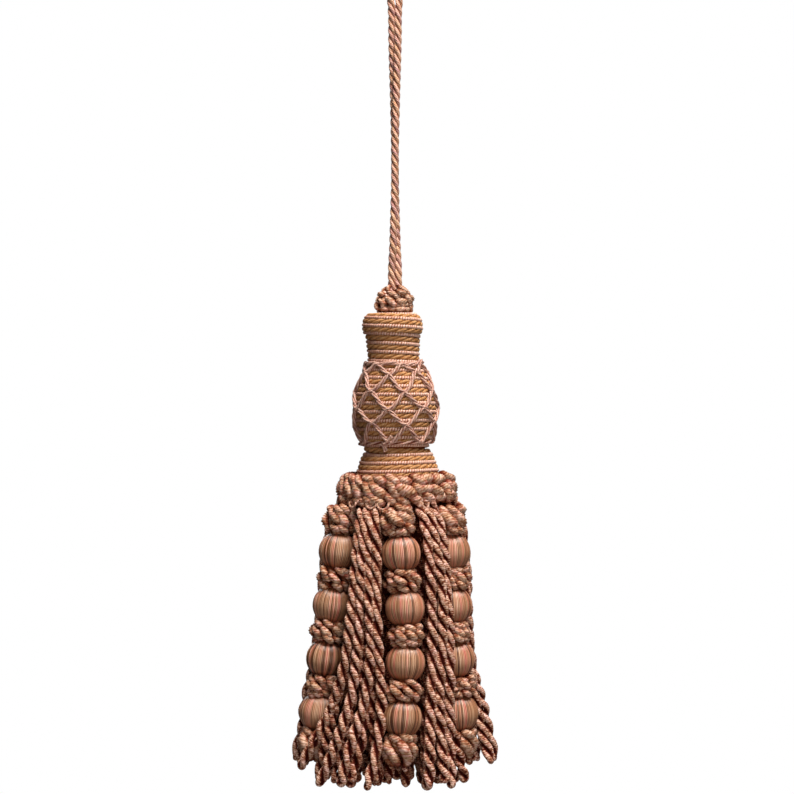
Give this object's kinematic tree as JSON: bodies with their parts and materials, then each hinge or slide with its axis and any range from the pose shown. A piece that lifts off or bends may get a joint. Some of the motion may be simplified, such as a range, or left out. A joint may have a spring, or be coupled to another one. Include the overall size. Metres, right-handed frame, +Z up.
{
  "type": "key tassel",
  "caption": "Key tassel with a doubled twisted hanging cord, a cord-wound netted head, a knotted collar, strings of thread-covered beads between ruffs, and a twisted bullion fringe skirt.",
  "frame": {"origin": "the bearing point inside the top bend of the hanging loop, where the tassel hangs from a key", "axes": "+Z up along the hanging cord, -Y towards the viewer of the picture, +X to the viewer's right"},
  "size_m": [0.061, 0.0601, 0.2507],
  "materials": {
    "loop_cord": "three-ply twisted cord of rose, tan and mauve yarns",
    "head_winding": "ochre twisted cord and thin salmon gimp wound side by side",
    "net_yarn": "soft mauve yarn, matt",
    "gimp_trim": "thick pale rose gimp with fine yarn wraps",
    "bead_satin": "satin threads laid over the bead, striped rose, tan and olive brown, slight sheen",
    "bullion": "two-ply twisted gimp in rose and tan, slight sheen"
  },
  "bodies": {
    "root": {"hanging_loop": "loop_cord", "top_knot": "gimp_trim", "wound_head": "head_winding", "belly_net": "net_yarn", "collar_braid": "gimp_trim", "bullion_fringe": "bullion", "bead_s1_1": "bead_satin", "bead_s1_2": "bead_satin", "bead_s1_3": "bead_satin", "bead_s1_4": "bead_satin", "bead_s2_1": "bead_satin", "bead_s2_2": "bead_satin", "bead_s2_3": "bead_satin", "bead_s2_4": "bead_satin", "bead_s3_1": "bead_satin", "bead_s3_2": "bead_satin", "bead_s3_3": "bead_satin", "bead_s3_4": "bead_satin", "bead_s4_1": "bead_satin", "bead_s4_2": "bead_satin", "bead_s4_3": "bead_satin", "bead_s4_4": "bead_satin", "bead_s5_1": "bead_satin", "bead_s5_2": "bead_satin", "bead_s5_3": "bead_satin", "bead_s5_4": "bead_satin", "bead_s6_1": "bead_satin", "bead_s6_2": "bead_satin", "bead_s6_3": "bead_satin", "bead_s6_4": "bead_satin", "ruff_s1_0": "gimp_trim", "ruff_s1_1": "gimp_trim", "ruff_s1_2": "gimp_trim", "ruff_s1_3": "gimp_trim", "ruff_s1_4": "gimp_trim", "ruff_s2_0": "gimp_trim", "ruff_s2_1": "gimp_trim", "ruff_s2_2": "gimp_trim", "ruff_s2_3": "gimp_trim", "ruff_s2_4": "gimp_trim", "ruff_s3_0": "gimp_trim", "ruff_s3_1": "gimp_trim", "ruff_s3_2": "gimp_trim", "ruff_s3_3": "gimp_trim", "ruff_s3_4": "gimp_trim", "ruff_s4_0": "gimp_trim", "ruff_s4_1": "gimp_trim", "ruff_s4_2": "gimp_trim", "ruff_s4_3": "gimp_trim", "ruff_s4_4": "gimp_trim", "ruff_s5_0": "gimp_trim", "ruff_s5_1": "gimp_trim", "ruff_s5_2": "gimp_trim", "ruff_s5_3": "gimp_trim", "ruff_s5_4": "gimp_trim", "ruff_s6_0": "gimp_trim", "ruff_s6_1": "gimp_trim", "ruff_s6_2": "gimp_trim", "ruff_s6_3": "gimp_trim", "ruff_s6_4": "gimp_trim"}
  },
  "joints": []
}
